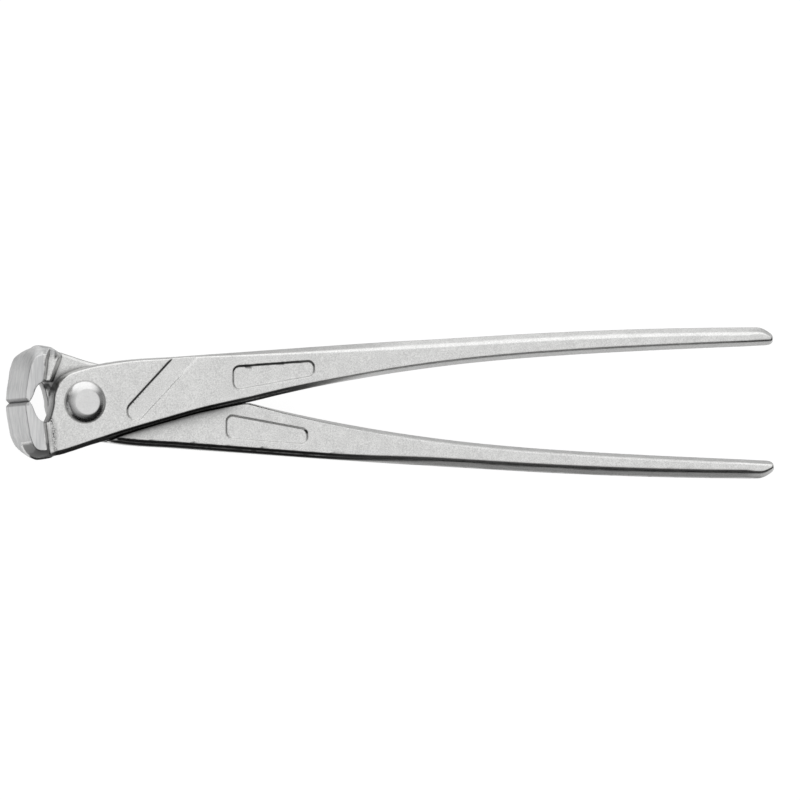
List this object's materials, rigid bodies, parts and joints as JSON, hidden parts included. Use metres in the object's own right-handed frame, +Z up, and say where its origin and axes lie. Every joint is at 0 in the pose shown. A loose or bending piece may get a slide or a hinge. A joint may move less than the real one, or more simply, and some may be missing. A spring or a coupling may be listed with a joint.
{
  "type": "rebar tying pliers",
  "caption": "End-cutting tying pliers for reinforcement wire: two forged steel levers crossing in a lap joint on a rivet, with long bowed bare handles.",
  "frame": {"origin": "centre of the closed tool's bounding box at its lowest plane, which the side faces of the jaws lie on", "axes": "+X along the tool from the jaws to the handle ends, +Y across it from the lower jaw to the upper jaw, +Z up along the rivet"},
  "size_m": [0.25, 0.048, 0.0225],
  "materials": {
    "front_forging": "bright shot-blasted forging with ground jaws",
    "rear_forging": "bright shot-blasted forging with ground jaws",
    "rivet_steel": "smooth forged rivet head"
  },
  "bodies": {
    "rear_lever_body": {"rear_lever": "rear_forging", "pivot_rivet": "rivet_steel"},
    "front_lever_body": {"front_lever": "front_forging"}
  },
  "joints": [
    {"name": "jaw_pivot", "type": "hinge", "parent": "rear_lever_body", "child": "front_lever_body", "pos_m": [-0.104, 0, 0.01125], "axis": [0, 0, 1], "range_deg": [0, 45]}
  ]
}
